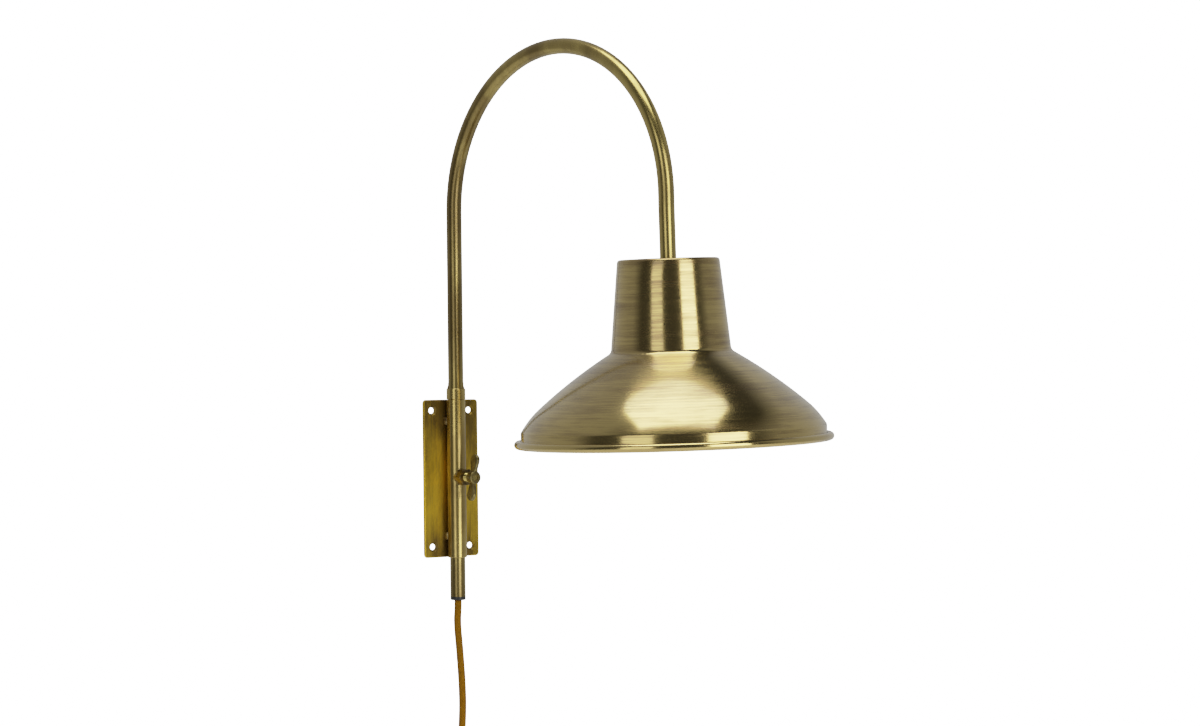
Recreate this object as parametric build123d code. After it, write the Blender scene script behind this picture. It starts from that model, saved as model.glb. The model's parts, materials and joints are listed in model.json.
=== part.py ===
from build123d import *
import math
import os

# A swivelling wall lamp in antiqued brass.  A bent tube arm turns and lifts in a sleeve that is brazed to
# a wall plate, and a wing screw clamps it.  A spun shade hangs from the arm's end over an E27 lampholder.
# The flex runs through the whole arm and hangs from its tail, with a switch, a coil and a plug.
#
# Frame: millimetres, +Z up, +X to the right as one faces the wall.  The wall is the plane y = 0 and the room
# is on its -Y side.  The origin is the centre of the wall plate's back face.

# ---- wall plate: brass sheet with four countersunk screw holes
plate_width = 55.0
plate_height = 133.0
plate_thickness = 2.0
plate_corner = 3.0
plate_edge = 0.4
hole_spacing_x = 38.0
hole_spacing_z = 115.0
hole_diameter = 5.5
sink_diameter = 8.4

# ---- sleeve brazed to the plate, and the arm tube that turns in it
tube_diameter = 12.7
tube_wall = 1.3
turning_clearance = 0.08
sleeve_wall = 1.5
sleeve_length = plate_height
seat_gap = 0.05
end_chamfer = 0.3
tack_length = 6.0
tack_start = 2.0
tack_inset = 0.33
tack_spacing = 97.0

# ---- arm: plain tail below the sleeve, stop ring on it, semicircular arch, short leg
tail_length = 33.2
ring_height = 9.0
ring_rest_gap = 0.2
ring_braze_height = 5.0
ring_braze_lip = 0.2
ring_braze_sweep = 210.0
ring_braze_start = 297.0
arch_radius = 128.5
arch_height = 225.0
leg_length = 48.5
lean_radius = 300.0
leg_lean = 1.7
arm_swing = 5.4

# ---- clamp: nut brazed on the sleeve, threaded stud and cast wing head
screw_height = 1.2
stud_diameter = 8.0
thread_clearance = 0.05
nut_wall = 2.5
nut_height = 7.0
nut_gap = 5.9
tip_gap = 0.1
tip_chamfer = 1.0
hub_wall = 2.85
hub_length = 7.0
hub_edge = 0.8
spigot_step = 1.55
spigot_sink = 0.8
wing_span = 39.0
wing_width = 10.4
wing_root = 5.6
wing_sink = 1.2
wing_thickness = 3.2
wing_edge = 1.2
wing_turn = 8.0

# ---- shade: one piece of spun sheet, tapered neck, bowed skirt, upright band and a curled rim
sheet = 0.9
shade_diameter = 250.0
neck_top_diameter = 80.0
neck_bottom_diameter = 94.2
neck_height = 72.2
neck_edge = 2.5
crease_radius = 5.0
crease_run = 9.0
skirt_bow = 4.0
skirt_bend = (0.80, 0.72)
skirt_end = (0.968, 0.958)
skirt_drop = 59.0
shoulder_radius = 3.5
curl_radius = 3.15
curl_drop = 10.4
curl_sweep = 305.0

# ---- fixing of the shade: threaded nipple in the tube's end, washer and lock nut under the shade's top
pull_clearance = 0.6
nipple_in_tube = 12.0
fit_clearance = 0.05
washer_rim = 5.0
washer_thickness = 1.0
lock_nut_wall = 2.0
lock_nut_height = 3.0

# ---- lampholder for an E27 lamp: screw cap, contact block, threaded shell and skirt
holder_gap = 0.5
holder_diameter = 41.0
holder_wall = 2.2
cap_boss_wall = 3.0
cap_boss_height = 8.0
cap_dome_height = 8.6
cap_height = 28.6
skirt_length = 32.0
spigot_length = 5.0
rib_count = 24
rib_radius = 0.7
block_height = 10.0
block_drop = 22.6
lamp_thread_diameter = 27.0
shell_sheet = 0.45
shell_length = 22.0
shell_mouth = 0.5
grip_lip = 0.5
grip_length = 5.0
grub_diameter = 3.0
terminal_offset = 9.0
terminal_size = (6.0, 7.0, 5.0)
rivet_diameter = 2.4
terminal_screw_diameter = 2.6
terminal_head_diameter = 4.8
contact_strip = 0.4
contact_width = 5.0
contact_dip = 4.5

# ---- flex
cord_diameter = 6.0
core_diameter = 2.2
core_gap = 0.8
cord_clearance = 0.1
bush_flange = 2.8
bush_spigot = 8.0
cord_end_run = 6.2
arc_share = 0.45

# ---- switch in the flex
switch_length = 56.0
switch_width = 26.0
switch_depth = 15.0
switch_front_depth = 8.5
switch_corner = 9.0
switch_edge = 2.0
cord_to_switch_drop = 133.5
rocker_length = 14.0
rocker_width = 10.0
rocker_tilt = 8.0
rocker_height = 4.8
rocker_pivot_depth = 2.0
rocker_proud = 0.3
rocker_clearance = 0.3
pocket_end_clearance = 0.9
pivot_pin_diameter = 2.0
pivot_pin_length = 1.5
switch_screw_spacing = 40.0
switch_screw_diameter = 3.0
switch_screw_head = 5.2
switch_screw_length = 9.0
switch_screw_seat = 2.0

# ---- coil, tie and plug on the flex's far end
coil_x = 4.2
coil_drop = 78.7
coil_radius = 34.0
bundle_turns = 3
bundle_slack = 1.0
layer_settling = 1.0
bundle_corner = 6.0
tie_angle = 50.0
tie_width = 6.0
tie_thickness = 1.2
tie_gap = 0.3
plug_gap = 0.85
plug_width = 35.3
plug_thickness = 13.7
plug_front = 13.0
plug_shoulder = 11.0
plug_neck = 12.0
plug_neck_width = 13.0
plug_neck_thickness = 9.4
plug_edge = 1.2
pin_spacing = 18.6
pin_diameter = 4.0
pin_length = 19.0
pin_bare_length = 9.0
pin_core_diameter = 2.8
pin_sleeve_diameter = 3.6
pin_root_length = 8.0

# ---- worked out from the sizes above
tube_radius = tube_diameter / 2
tube_bore = tube_radius - tube_wall
sleeve_bore = tube_radius + turning_clearance
sleeve_radius = sleeve_bore + sleeve_wall
mast_y = -(plate_thickness + seat_gap + sleeve_radius)
sleeve_top = sleeve_length / 2
ring_bottom = sleeve_top + ring_rest_gap
ring_top = ring_bottom + ring_height
tail_end = -sleeve_length / 2 - tail_length
cord_exit = tail_end - bush_flange
nut_back = sleeve_radius
nut_front = nut_back + nut_height
hub_back = nut_front + nut_gap
nut_across_flats = stud_diameter + 2 * nut_wall
spigot_diameter = stud_diameter - 2 * spigot_step
hub_diameter = spigot_diameter + 2 * hub_wall
hub_front = hub_back + hub_length
nipple_diameter = 2 * (tube_bore - fit_clearance)
nipple_bore = cord_diameter + 2 * pull_clearance
washer_diameter = nipple_diameter + 2 * washer_rim
lock_nut_flats = nipple_diameter + 2 * lock_nut_wall
cap_boss_diameter = nipple_diameter + 2 * cap_boss_wall
grip_diameter = nipple_diameter + 2 * grip_lip
core_pitch = core_diameter + core_gap
holder_radius = holder_diameter / 2
cap_top = -(sheet + washer_thickness + lock_nut_height + holder_gap)
cap_boss_end = cap_top - cap_boss_height
cap_dome_end = cap_boss_end - cap_dome_height
cap_bottom = cap_top - cap_height
block_top = cap_top - block_drop
block_bottom = block_top - block_height
holder_bottom = cap_bottom - skirt_length
joint_radius = holder_radius - holder_wall
block_radius = joint_radius - holder_wall + 0.3
shell_bore = lamp_thread_diameter / 2
switch_top = cord_exit - cord_to_switch_drop
switch_bottom = switch_top - switch_length
coil_z = switch_bottom - coil_drop
switch_back_depth = switch_depth - switch_front_depth
bundle_width = bundle_turns * cord_diameter + bundle_slack
bundle_depth = bundle_turns * cord_diameter - layer_settling
plug_y = mast_y - (bundle_depth + plug_thickness) / 2 - plug_gap
shell_top = holder_bottom + shell_mouth + shell_length

# ---- placing: the arm swings about the mast, and what hangs from it follows the leg's end
arm_place = Location((0, mast_y, 0), (0, 0, arm_swing))
wall_front = Plane((0, -plate_thickness, 0), x_dir=(1, 0, 0), z_dir=(0, -1, 0))
clamp_plane = Plane((0, mast_y, screw_height), x_dir=(1, 0, 0), z_dir=(0, -1, 0))


# what stands on its plane, and what hangs from it
UP = (Align.CENTER, Align.CENTER, Align.MIN)
DOWN = (Align.CENTER, Align.CENTER, Align.MAX)


def save(name, *solids):
    """Write one named piece, or one group of like pieces, to its own file."""
    whole = solids[0] if len(solids) == 1 else Compound(children=list(solids))
    whole.label = name
    export_step(whole, f"parts/{name}.step")


def turned(*points):
    """A turned piece about Z from its half outline of (radius, height) points."""
    outline = make_face(Polyline(*[(r, 0, z) for r, z in points], close=True))
    return revolve(outline, Axis.Z)


def hexagon(across_flats, height, corner_cut):
    """A nut's blank standing on its plane, its corners turned down at the free end."""
    blank = extrude(RegularPolygon(across_flats / 2, 6, major_radius=False), height)
    corner = across_flats / math.sqrt(3)
    mask = Cylinder(corner, height, align=UP)
    top_edge = mask.edges().sort_by(Axis.Z)[-1]
    return blank & chamfer(top_edge, corner_cut * math.tan(math.radians(30)), corner_cut)


def cord_radii(points):
    """The largest tangent arc that the two runs at each point leave room for."""
    runs = [Vector(b) - Vector(a) for a, b in zip(points, points[1:])]
    radii = []
    for before, after in zip(runs, runs[1:]):
        half_turn = math.radians(before.get_angle(after)) / 2
        radii.append(arc_share * min(before.length, after.length) / math.tan(half_turn))
    return radii


def cord_tube(name, points, diameter):
    """A stretch of flex: straight runs joined by tangent arcs, with its radii printed."""
    radii = cord_radii(points)
    print(name, "radii", [round(r, 1) for r in radii])
    path = FilletPolyline(*points, radius=radii)
    tube = sweep(Plane(path @ 0, z_dir=path % 0) * Circle(diameter / 2), path=path)
    share = tube.volume / (path.length * math.pi * (diameter / 2) ** 2)
    print(name, "length", round(path.length, 1), "volume over section times length", round(share, 4))
    return tube


# ---------------------------------------------------------------- wall side
def wall_plate():
    onto_wall = (Align.CENTER, Align.MAX, Align.CENTER)
    blank = Box(plate_width, plate_thickness, plate_height, align=onto_wall)
    blank = fillet(blank.edges().filter_by(Axis.Y), plate_corner)
    front = blank.faces().sort_by(Axis.Y)[0]
    blank = fillet(front.edges(), plate_edge)
    sink_depth = (sink_diameter - hole_diameter) / 2
    sink = Cone(hole_diameter / 2, sink_diameter / 2, sink_depth, align=DOWN)
    hole = Cylinder(hole_diameter / 2, 3 * plate_thickness)
    for spot in GridLocations(hole_spacing_x, hole_spacing_z, 2, 2):
        blank -= wall_front * spot * (hole + sink)
    return blank


def pivot_sleeve():
    sleeve = Cylinder(sleeve_radius, sleeve_length) - Cylinder(sleeve_bore, sleeve_length)
    sleeve = chamfer(sleeve.edges().filter_by(GeomType.CIRCLE), end_chamfer)
    sleeve = Pos(0, mast_y, 0) * sleeve
    stud_hole = Cylinder(stud_diameter / 2 + 3 * thread_clearance, 2 * sleeve_radius, align=UP)
    return sleeve - clamp_plane * stud_hole


def sleeve_brazes():
    """Braze in the crotch between sleeve and plate: a short tack near each end, on both sides."""
    tacks = []
    crotch_depth = 0.62 * sleeve_radius
    width = sleeve_radius - tack_inset - tack_start
    for side in (-1, 1):
        for end in (-1, 1):
            block = Box(width, crotch_depth, tack_length, align=(Align.MIN, Align.MAX, Align.CENTER))
            outer_edge = block.edges().filter_by(Axis.Z).sort_by(Axis.X)[-2:].sort_by(Axis.Y)[:1]
            block = Pos(tack_start, 0, 0) * fillet(outer_edge, crotch_depth / 2)
            if side < 0:
                block = mirror(block, Plane.YZ)
            tack = Pos(0, -plate_thickness, end * tack_spacing / 2) * block
            tack -= Pos(0, mast_y, 0) * Cylinder(sleeve_radius, sleeve_length)
            tacks += [s for s in tack.solids() if s.volume > 1.0]
    return tacks


def clamp_nut():
    nut = hexagon(nut_across_flats, nut_height, 1.1)
    nut -= Cylinder(stud_diameter / 2 + thread_clearance, 3 * nut_height)
    return clamp_plane * Pos(0, 0, nut_back) * nut


def nut_braze():
    """Filler under the nut, which sits on the sleeve's round back along one line only."""
    collar = Cylinder(nut_across_flats / 2 + 0.2, nut_back, align=UP)
    collar -= Cylinder(stud_diameter / 2 + 3 * thread_clearance, 3 * nut_back)
    return clamp_plane * collar - Pos(0, mast_y, 0) * Cylinder(sleeve_radius, sleeve_length)


# ---------------------------------------------------------------- clamp screw
def clamp_stud():
    """Threaded stud; its reduced end is riveted through the wing head's hub."""
    tip = tube_radius + tip_gap
    radius = stud_diameter / 2
    end = hub_front - spigot_sink
    spigot = spigot_diameter / 2
    stud = turned(
        (0, tip), (radius - tip_chamfer, tip), (radius, tip + tip_chamfer), (radius, hub_back),
        (spigot, hub_back), (spigot, end), (0, end),
    )
    return clamp_plane * stud


def wing_head():
    hub = Cylinder(hub_diameter / 2, hub_length, align=UP)
    hub = fillet(hub.edges().filter_by(GeomType.CIRCLE), hub_edge)
    lobe_radius = wing_width / 2
    lobe_centre = wing_span / 2 - lobe_radius
    middle = hub_length / 2
    root = Pos(middle, hub_diameter / 2 - wing_sink) * Rectangle(wing_root, 0.5)
    lobe = Pos(middle, lobe_centre) * Circle(lobe_radius)
    outline = make_hull(root.edges() + lobe.edges())
    # the outline's x runs along the screw and its y outwards
    upright = Plane((0, 0, 0), x_dir=(0, 0, 1), z_dir=(1, 0, 0))
    wing = extrude(upright * outline, wing_thickness / 2, both=True)
    wing = fillet(wing.edges(), wing_edge)
    head = hub + wing + Rot(0, 0, 180) * wing
    head -= Cylinder(spigot_diameter / 2 + fit_clearance, 3 * hub_length)
    return clamp_plane * Rot(0, 0, -wing_turn) * Pos(0, 0, hub_back) * head


# ---------------------------------------------------------------- arm
def arm_line(start, past_end):
    """The arm's centreline in the arm's own plane, from a height on the mast to a run past the leg's end."""
    lean = math.radians(leg_lean)
    mast = Line((0, 0, start), (0, 0, arch_height))
    crown = (0, -arch_radius, arch_height + arch_radius)
    arch = ThreePointArc((0, 0, arch_height), crown, (0, -2 * arch_radius, arch_height))
    bend_x = lean_radius * (1 - math.cos(lean))
    bend_z = lean_radius * math.sin(lean)
    half_x = lean_radius * (1 - math.cos(lean / 2))
    half_z = lean_radius * math.sin(lean / 2)
    reach = -2 * arch_radius
    bend_middle = (half_x, reach, arch_height - half_z)
    bend_end = (bend_x, reach, arch_height - bend_z)
    bend = ThreePointArc((0, reach, arch_height), bend_middle, bend_end)
    run = (leg_length - bend_z) / math.cos(lean) + past_end
    end = (bend_x + run * math.sin(lean), reach, arch_height - bend_z - run * math.cos(lean))
    leg = Line(bend_end, end)
    return Wire([mast.edge(), arch.edge(), bend.edge(), leg.edge()])


def leg_end():
    """The place of the tube's end: its own Z runs up the leaning leg."""
    end = arm_line(tail_end, 0) @ 1
    return Location(tuple(end), (0, -leg_lean, 0))


shade_place = arm_place * leg_end()


def arm_tube():
    line = arm_line(tail_end, 0)
    section = Plane(line @ 0, z_dir=line % 0)
    tube = sweep(section * Circle(tube_radius), path=line) - sweep(section * Circle(tube_bore), path=line)
    return arm_place * tube


def stop_ring():
    ring = Cylinder(sleeve_radius, ring_height, align=UP)
    ring -= Cylinder(tube_radius, 3 * ring_height)
    round_edges = ring.edges().filter_by(GeomType.CIRCLE)
    ring = chamfer(round_edges.filter_by(lambda e: e.radius > tube_radius + 0.1), end_chamfer)
    return arm_place * Pos(0, 0, ring_bottom) * ring


def ring_braze():
    """Braze fillet on top of the stop ring, round the back and both sides of the tube."""
    foot = sleeve_radius - end_chamfer
    corner = (tube_radius, 0, ring_top)
    outer = (foot, 0, ring_top)
    upper = (tube_radius, 0, ring_top + ring_braze_height)
    upper_lip = (tube_radius + ring_braze_lip, 0, ring_top + ring_braze_height)
    hollow = (tube_radius + 0.4 * (foot - tube_radius), 0, ring_top + 0.35 * ring_braze_height)
    curve = ThreePointArc(outer, hollow, upper_lip)
    outline = make_face([Line(corner, outer), curve, Line(upper_lip, upper), Line(upper, corner)])
    bead = revolve(outline, Axis.Z, revolution_arc=ring_braze_sweep)
    return arm_place * Rot(0, 0, ring_braze_start) * bead


def tail_bush():
    hole = cord_diameter / 2 + cord_clearance
    spigot = tube_bore - fit_clearance
    bush = turned(
        (hole, cord_exit), (tube_radius - 0.5, cord_exit), (tube_radius, cord_exit + 0.5),
        (tube_radius, tail_end), (spigot, tail_end), (spigot, tail_end + bush_spigot),
        (hole, tail_end + bush_spigot),
    )
    return arm_place * bush


# ---------------------------------------------------------------- shade
def inner_face(edge):
    """The same stretch of an outline on the sheet's other face, to the right of the way it runs."""
    places = [edge @ t + (edge % t).rotate(Axis.Z, -90) * sheet for t in (0, 0.5, 1)]
    if edge.geom_type == GeomType.LINE:
        return Line(places[0], places[2])
    return ThreePointArc(*places)


def shade():
    """Spun sheet, drawn along its outside face from the hole in its top to the end of its curled rim."""
    hole = nipple_diameter / 2 + 0.2
    band = shade_diameter / 2 - curl_radius - (curl_radius - sheet)
    crease = (neck_bottom_diameter / 2, -neck_height)
    wide, drop = band - crease[0], skirt_drop
    bend = (crease[0] + skirt_bend[0] * wide, crease[1] - skirt_bend[1] * drop)
    # the skirt leaves the crease a little flatter than the straight way to its bend, and so it bows
    slope = math.atan2(crease[1] - bend[1], bend[0] - crease[0]) - math.radians(skirt_bow)
    run_end = (crease[0] + crease_run * math.cos(slope), crease[1] - crease_run * math.sin(slope))
    last = (crease[0] + skirt_end[0] * wide, crease[1] - skirt_end[1] * drop)
    curl_height = crease[1] - drop - curl_drop

    shoulder_edge = (neck_top_diameter / 2, 0)
    top = FilletPolyline((hole, 0), shoulder_edge, crease, run_end, radius=[neck_edge, crease_radius])
    bow = TangentArc(run_end, bend, tangent=top % 1)
    shoulder = TangentArc(bend, last, tangent=bow % 1)
    heading = shoulder % 1
    corner = (band, last[1] + heading.Y / heading.X * (band - last[0]))
    side = FilletPolyline(last, corner, (band, curl_height), radius=shoulder_radius)
    curl = JernArc((band, curl_height), (0, -1), curl_radius - sheet, curl_sweep)
    outside = Wire(top.edges() + bow.edges() + shoulder.edges() + side.edges() + curl.edges())
    outside = outside.order_edges()
    inside = [inner_face(edge) for edge in outside]
    hole_edge = Line(outside[0] @ 0, inside[0] @ 0)
    curl_edge = Line(outside[-1] @ 1, inside[-1] @ 1)
    wall = make_face([*outside, *inside, hole_edge, curl_edge])
    return shade_place * revolve(Rot(90, 0, 0) * wall, Axis.Z)


# ---------------------------------------------------------------- shade fixing
def end_nipple():
    """Threaded pipe nipple, brazed in the tube's end; the flex passes through it."""
    length = nipple_in_tube - cap_boss_end
    nipple = Cylinder(nipple_diameter / 2, length, align=UP)
    nipple = chamfer(nipple.edges().filter_by(GeomType.CIRCLE), 0.6)
    nipple -= Cylinder(nipple_bore / 2, 3 * length)
    return shade_place * Pos(0, 0, cap_boss_end) * nipple


def shade_washer():
    washer = Cylinder(washer_diameter / 2, washer_thickness, align=DOWN)
    washer -= Cylinder(nipple_diameter / 2 + fit_clearance, 4 * washer_thickness)
    return shade_place * Pos(0, 0, -sheet) * washer


def lock_nut():
    nut = hexagon(lock_nut_flats, lock_nut_height, 1.0)
    nut -= Cylinder(nipple_diameter / 2 + fit_clearance, 4 * lock_nut_height)
    return shade_place * Pos(0, 0, -sheet - washer_thickness) * Rot(180, 0, 0) * nut


# ---------------------------------------------------------------- lampholder
def holder_cap():
    thread = nipple_diameter / 2 + fit_clearance
    boss = cap_boss_diameter / 2
    inner_boss = boss - holder_wall + 1.2
    cap = turned(
        (thread, cap_top), (boss - 0.6, cap_top), (boss, cap_top - 0.6), (boss, cap_boss_end),
        (0.80 * holder_radius, cap_dome_end + 0.42 * cap_dome_height), (holder_radius, cap_dome_end),
        (holder_radius, cap_bottom), (joint_radius, cap_bottom), (joint_radius, cap_dome_end),
        (0.72 * holder_radius, cap_dome_end + 0.30 * cap_dome_height), (inner_boss, cap_boss_end),
        (thread, cap_boss_end),
    )
    grub_hole = Cylinder(grub_diameter / 2 + fit_clearance, holder_radius, align=UP)
    cap -= Pos(0, 0, cap_top - cap_boss_height / 2) * Rot(0, 90, 0) * grub_hole
    return shade_place * cap


def cap_grub_screw():
    """Locks the cap on the nipple, so that unscrewing a lamp doesn't turn the holder off."""
    start = nipple_diameter / 2 + fit_clearance
    length = cap_boss_diameter / 2 - start - 0.3
    screw = Cylinder(grub_diameter / 2, length, align=UP)
    screw -= Pos(0, 0, length) * Box(grub_diameter, 0.6, 1.4)
    return shade_place * Pos(0, 0, cap_top - cap_boss_height / 2) * Rot(0, 90, 0) * Pos(0, 0, start) * screw


def cord_grip():
    """Moulded collar under the nipple that nips the flex, so its pull never reaches the terminals."""
    end = cap_boss_end - grip_length
    grip = turned(
        (cord_diameter / 2, cap_boss_end), (grip_diameter / 2, cap_boss_end), (grip_diameter / 2, end + 1),
        (grip_diameter / 2 - 1, end), (cord_diameter / 2, end),
    )
    return shade_place * grip


def contact_block():
    """Porcelain block that carries the terminals on top and the contacts below."""
    block = Cylinder(block_radius, block_height, align=DOWN)
    block = chamfer(block.edges().filter_by(GeomType.CIRCLE), 0.6)
    rivet_hole = Cylinder(rivet_diameter / 2 + fit_clearance, 3 * block_height)
    for side in (-1, 1):
        block -= Pos(side * terminal_offset, 0, 0) * rivet_hole
    wall_height = terminal_size[2] - 1.0
    ridge = Pos(0, block_radius - 3.5, 0) * Box(20, 2, wall_height, align=UP)
    block += ridge + mirror(ridge, Plane.XZ)
    return shade_place * Pos(0, 0, block_top) * block


def terminal_posts():
    """Brass wire clamps on the block's top, each riveted through it to its contact."""
    width, depth, height = terminal_size
    posts = []
    for side in (-1, 1):
        post = Box(width, depth, height, align=UP)
        post += Cylinder(rivet_diameter / 2, block_height, align=DOWN)
        post -= Pos(0, 0, height) * Cylinder(terminal_screw_diameter / 2 + fit_clearance, 5.0)
        post -= Pos(0, 0, 0.4 * height) * Rot(0, 90, 0) * Cylinder(0.9, 2 * width)
        posts.append(shade_place * Pos(side * terminal_offset, 0, block_top) * post)
    return posts


def terminal_screws():
    screws = []
    for side in (-1, 1):
        head = Cylinder(terminal_head_diameter / 2, 1.6, align=UP)
        head -= Pos(0, 0, 1.6) * Box(terminal_head_diameter, 0.7, 1.4)
        shank = Cylinder(terminal_screw_diameter / 2, 2.2, align=DOWN)
        spot = Pos(side * terminal_offset, 0, block_top + terminal_size[2])
        screws.append(shade_place * spot * (head + shank))
    return screws


def thread_shell():
    """The shell that the lamp screws into, drawn as its clear bore."""
    outer = shell_bore + shell_sheet
    bottom = shell_top - shell_length
    shell = turned((shell_bore, shell_top), (outer, shell_top), (outer, bottom), (shell_bore, bottom))
    return shade_place * shell


def centre_contact():
    """Spring tongue under the block that meets the lamp's tip."""
    start = terminal_offset + 2.0
    upper = block_bottom
    low = upper - contact_dip
    upper_side = [(start, upper), (4.0, upper), (-2.0, low), (-4.5, low + 0.8)]
    lower_side = [(x, z - contact_strip) for x, z in reversed(upper_side)]
    bent = make_face(Polyline(*upper_side, *lower_side, close=True))
    return shade_place * extrude(Plane.XZ * bent, contact_width / 2, both=True)


def side_contact():
    """Bent tab from the other rivet down to the threaded shell's top edge."""
    reach = shell_bore + shell_sheet
    corner_down = (Align.MIN, Align.CENTER, Align.MAX)
    tab = Box(reach - terminal_offset + 2.0, contact_width, contact_strip, align=corner_down)
    tab += Box(shell_sheet, contact_width, block_bottom - shell_top, align=corner_down)
    return shade_place * (Pos(-reach, 0, block_bottom) * tab & Pos(0, 0, block_bottom) * Cylinder(reach, 30))


def holder_skirt():
    spigot = joint_radius - fit_clearance
    pocket = block_radius + 0.1
    seat = shell_bore + shell_sheet + fit_clearance
    rounding = 1.5
    body = holder_radius - rib_radius
    skirt = turned(
        (pocket, cap_bottom + spigot_length), (spigot, cap_bottom + spigot_length),
        (spigot, cap_bottom - 0.1),
        (body, cap_bottom - 0.1), (body, holder_bottom + rounding), (body - rounding, holder_bottom),
        (seat + 0.4, holder_bottom), (seat, holder_bottom + 0.4), (seat, block_bottom),
        (pocket, block_bottom),
    )
    rib_length = skirt_length - 4 * rounding
    rib = Pos(body, 0, holder_bottom + 2.5 * rounding) * Cylinder(rib_radius, rib_length, align=UP)
    for turn in range(rib_count):
        skirt += Rot(0, 0, turn * 360 / rib_count) * rib
    return shade_place * skirt


# ---------------------------------------------------------------- flex inside the lamp
def inner_cord():
    """The flex from the tail bush through mast, arch, leg and nipple to just past the cord grip."""
    line = arm_line(cord_exit, -cap_boss_end + cord_end_run)
    return arm_place * sweep(Plane(line @ 0, z_dir=line % 0) * Circle(cord_diameter / 2), path=line)


def core(side):
    """One insulated core, from the flex's end to its terminal."""
    start = cap_boss_end - cord_end_run
    end_x = terminal_offset - terminal_size[0] / 2
    level = block_top + 0.4 * terminal_size[2]
    half = core_pitch / 2
    drop = start - level
    points = [(half, 0, start), (half, 0, start - 0.36 * drop), (half + 2.0, 0, level + 0.2 * drop),
              (end_x + 0.5, 0, level)]
    lead = cord_tube("core", points, core_diameter)
    lead -= Pos(end_x, 0, level) * Box(4, 6, 6, align=(Align.MIN, Align.CENTER, Align.CENTER))
    return shade_place * Rot(0, 0, 0 if side > 0 else 180) * lead


# ---------------------------------------------------------------- flex outside the lamp
# Hand-chosen points of the hanging flex, from the tail bush down to the switch and from there to the coil.
cord_to_switch_points = [
    (0.0, mast_y, cord_exit),
    (0.0, mast_y, cord_exit - 6.5),
    (-1.2, mast_y, cord_exit - 19.0),
    (1.1, mast_y - 0.3, cord_exit - 43.5),
    (3.8, mast_y - 0.2, cord_exit - 80.5),
    (2.8, mast_y, cord_exit - 109.5),
    (0.9, mast_y, switch_top + 8.5),
    (0.9, mast_y, switch_top),
]
cord_to_coil_points = [
    (0.9, mast_y, switch_bottom),
    (0.9, mast_y, switch_bottom - 11.5),
    (4.2, mast_y, switch_bottom - 26.5),
    (12.6, mast_y, switch_bottom - 38.0),
    (22.4, mast_y, switch_bottom - 43.1),
]
cord_to_plug_points = [
    (coil_x - 26.0, plug_y + 10.7, coil_z + 22.0),
    (coil_x - 20.2, plug_y + 7.2, coil_z + 28.9),
    (coil_x - 9.2, plug_y + 4.2, coil_z + 33.5),
    (coil_x + 2.3, plug_y + 2.6, coil_z + 29.4),
    (coil_x + 10.8, plug_y + 1.0, coil_z + 19.7),
    (coil_x + 13.4, plug_y, coil_z + 7.7),
    (coil_x + 13.4, plug_y, coil_z - 1.3),
]
plug_place = Location(cord_to_plug_points[-1], (0, 0, 0))
switch_face = Plane((0.9, mast_y, switch_top - switch_length / 2), x_dir=(1, 0, 0), z_dir=(0, -1, 0))


def switch_blank(depth):
    """Half of the switch's oval housing, standing on its parting plane."""
    return extrude(RectangleRounded(switch_width, switch_length, switch_corner), depth)


def switch_front():
    shell = switch_blank(switch_front_depth)
    shell = fillet(shell.faces().sort_by(Axis.Z)[-1].edges(), switch_edge)
    pivot = switch_front_depth - rocker_pivot_depth
    floor = pivot - rocker_height + rocker_proud - 0.5
    pocket_length = rocker_length + 2 * pocket_end_clearance
    pocket_width = rocker_width + 2 * rocker_clearance
    shell -= Pos(0, 0, floor) * Box(pocket_width, pocket_length, 2 * switch_front_depth, align=UP)
    pin_span = rocker_width + 2 * pivot_pin_length + 2 * rocker_clearance
    shell -= Pos(0, 0, pivot) * Rot(0, 90, 0) * Cylinder(pivot_pin_diameter / 2 + fit_clearance, pin_span)
    screw_hole = switch_screw_length - (switch_back_depth - switch_screw_seat)
    for spot in GridLocations(1, switch_screw_spacing, 1, 2):
        shell -= spot * Cylinder(switch_screw_diameter / 2 + fit_clearance, 2 * (screw_hole + 0.5))
    return switch_face * shell


def switch_back():
    shell = switch_blank(switch_back_depth)
    shell = fillet(shell.faces().sort_by(Axis.Z)[-1].edges(), switch_edge)
    for spot in GridLocations(1, switch_screw_spacing, 1, 2):
        shell -= spot * Cylinder(switch_screw_diameter / 2 + fit_clearance, 4 * switch_back_depth)
        counterbore = Cylinder(switch_screw_head / 2 + fit_clearance, 2 * switch_screw_seat)
        shell -= spot * Pos(0, 0, switch_back_depth) * counterbore
    return switch_face * Rot(180, 0, 0) * shell


def switch_screws():
    screws = []
    for spot in GridLocations(1, switch_screw_spacing, 1, 2):
        head_seat = switch_back_depth - switch_screw_seat
        shank = Cylinder(switch_screw_diameter / 2, switch_screw_length, align=DOWN)
        head = Cylinder(switch_screw_head / 2, 1.6, align=UP)
        head -= Pos(0, 0, 1.6) * Box(switch_screw_head, 0.8, 1.6)
        screws.append(switch_face * Rot(180, 0, 0) * spot * Pos(0, 0, head_seat) * (shank + head))
    return screws


def switch_rocker():
    """Rocker with a dished top and two pivot pins, lying pressed down at its lower end."""
    half = rocker_length / 2
    low = rocker_pivot_depth + rocker_proud
    high = low + half * math.tan(math.radians(rocker_tilt))
    foot = low - rocker_height + 0.5
    corners = [(-half, foot), (half, foot), (half, high), (0, low), (-half, high)]
    outline = make_face(Polyline(*corners, close=True))
    side_on = Plane((0, 0, 0), x_dir=(0, 1, 0), z_dir=(1, 0, 0))
    body = extrude(side_on * outline, rocker_width / 2, both=True)
    body += Rot(0, 90, 0) * Cylinder(pivot_pin_diameter / 2, rocker_width + 2 * pivot_pin_length)
    body = Rot(rocker_tilt, 0, 0) * body
    return switch_face * Pos(0, 0, switch_front_depth - rocker_pivot_depth) * body


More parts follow.
